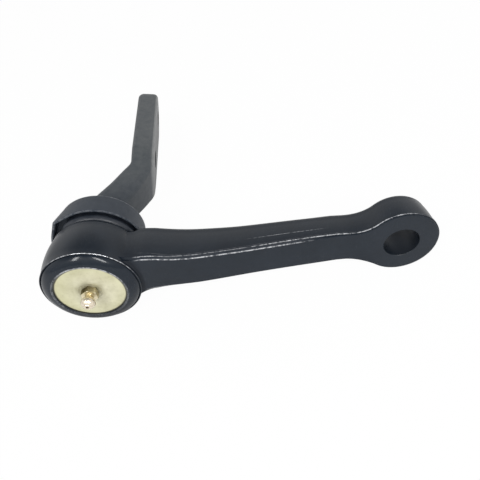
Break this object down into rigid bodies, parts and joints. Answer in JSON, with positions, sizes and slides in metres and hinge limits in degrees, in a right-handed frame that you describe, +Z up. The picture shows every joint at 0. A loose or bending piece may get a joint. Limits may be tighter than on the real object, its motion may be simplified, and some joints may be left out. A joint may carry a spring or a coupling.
{
  "type": "steering idler arm",
  "caption": "Forged steering idler arm turning on a bracket with a bolted strap, with a greased pivot and a plain eye at its far end.",
  "frame": {"origin": "centre of the bounding box, on the floor that the flange, the eye and the strap's lower edge lie on", "axes": "+Y back along the pivot axis, from the arm's housing to the bracket; +Z up; the arm runs along +X"},
  "size_m": [0.2114, 0.2128, 0.0542],
  "materials": {
    "arm_paint": "satin",
    "bracket_paint": "satin",
    "cap_zinc": "satin",
    "fitting_brass": "glossy",
    "ground_steel": "brushed",
    "spring_steel": "satin",
    "bronze": "satin",
    "seal_rubber": "matte"
  },
  "bodies": {
    "bracket_body": {"bracket": "bracket_paint", "bearing_cone": "ground_steel", "retaining_ring": "spring_steel"},
    "arm_body": {"arm": "arm_paint", "rear_bush": "bronze", "cone_seat": "bronze", "pressure_pad": "bronze", "preload_spring": "spring_steel", "end_cap": "cap_zinc", "grease_fitting": "fitting_brass", "check_ball": "ground_steel", "check_spring": "spring_steel", "dust_seal": "seal_rubber"}
  },
  "joints": [
    {"name": "arm_swing", "type": "hinge", "parent": "bracket_body", "child": "arm_body", "pos_m": [-0.07866, -0.07587, 0.0271], "axis": [0, 1, 0], "continuous": true}
  ]
}
